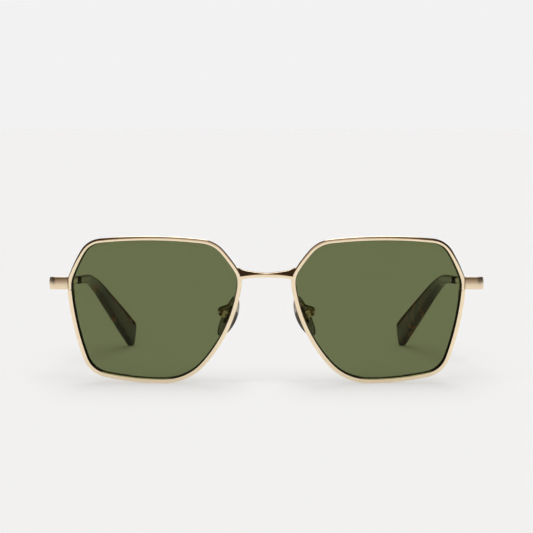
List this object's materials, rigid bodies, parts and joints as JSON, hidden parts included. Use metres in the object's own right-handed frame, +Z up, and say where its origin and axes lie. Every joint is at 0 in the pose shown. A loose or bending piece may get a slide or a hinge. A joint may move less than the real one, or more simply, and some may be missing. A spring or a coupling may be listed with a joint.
{
  "type": "sunglasses",
  "caption": "Full-rim metal sunglasses with tinted lenses, a single bridge, rocking nose pads on wire arms and folding temples with moulded tips.",
  "frame": {"origin": "centre of the glasses' outline on the floor that they stand on, open", "axes": "+X towards the wearer's left, -Y the way the lenses face, +Z up; the glasses rest on the rims' bottoms and the temples' ends"},
  "size_m": [0.14, 0.1484, 0.0478],
  "materials": {
    "polished_gold": "polished champagne gold plating",
    "satin_gold": "satin champagne gold plating",
    "hinge_gold": "gold plating",
    "pad_gold": "gold plated wire",
    "screw_steel": "bright steel",
    "green_lens": "clear green tint, hard coated",
    "clear_silicone": "clear, soft, slightly matt",
    "dark_tortoise": "polished acetate, dark brown with amber patches"
  },
  "bodies": {
    "front": {"bridge": "polished_gold", "rim_left": "polished_gold", "rim_right": "polished_gold", "lens_left": "green_lens", "lens_right": "green_lens", "endpiece_left": "satin_gold", "endpiece_right": "satin_gold", "rim_lock_upper_left": "hinge_gold", "rim_lock_upper_right": "hinge_gold", "rim_lock_lower_left": "hinge_gold", "rim_lock_lower_right": "hinge_gold", "rim_lock_screw_left": "screw_steel", "rim_lock_screw_right": "screw_steel", "front_hinge_left": "hinge_gold", "front_hinge_right": "hinge_gold", "hinge_screw_left": "screw_steel", "hinge_screw_right": "screw_steel", "pad_arm_left": "pad_gold", "pad_arm_right": "pad_gold", "pad_box_left": "pad_gold", "pad_box_right": "pad_gold", "pad_screw_left": "screw_steel", "pad_screw_right": "screw_steel"},
    "temple_left": {"temple_arm_left": "polished_gold", "temple_hinge_left": "hinge_gold", "temple_tip_left": "dark_tortoise"},
    "temple_right": {"temple_arm_right": "polished_gold", "temple_hinge_right": "hinge_gold", "temple_tip_right": "dark_tortoise"},
    "pad_left": {"nose_pad_left": "clear_silicone", "pad_insert_left": "pad_gold"},
    "pad_right": {"nose_pad_right": "clear_silicone", "pad_insert_right": "pad_gold"}
  },
  "joints": [
    {"name": "temple_hinge_left", "type": "hinge", "parent": "front", "child": "temple_left", "pos_m": [0.06715, -0.06099, 0.0319], "axis": [0, 0.0515, 0.9987], "range_deg": [0, 83]},
    {"name": "temple_hinge_right", "type": "hinge", "parent": "front", "child": "temple_right", "pos_m": [-0.06715, -0.06099, 0.0319], "axis": [0, -0.0515, -0.9987], "range_deg": [0, 68]},
    {"name": "pad_rock_left", "type": "hinge", "parent": "front", "child": "pad_left", "pos_m": [0.0136, -0.0645, 0.02239], "axis": [0.3422, 0.9104, 0.2326], "range_deg": [-8, 8]},
    {"name": "pad_rock_right", "type": "hinge", "parent": "front", "child": "pad_right", "pos_m": [-0.0136, -0.0645, 0.02239], "axis": [0.3422, -0.9104, -0.2326], "range_deg": [-8, 8]}
  ]
}
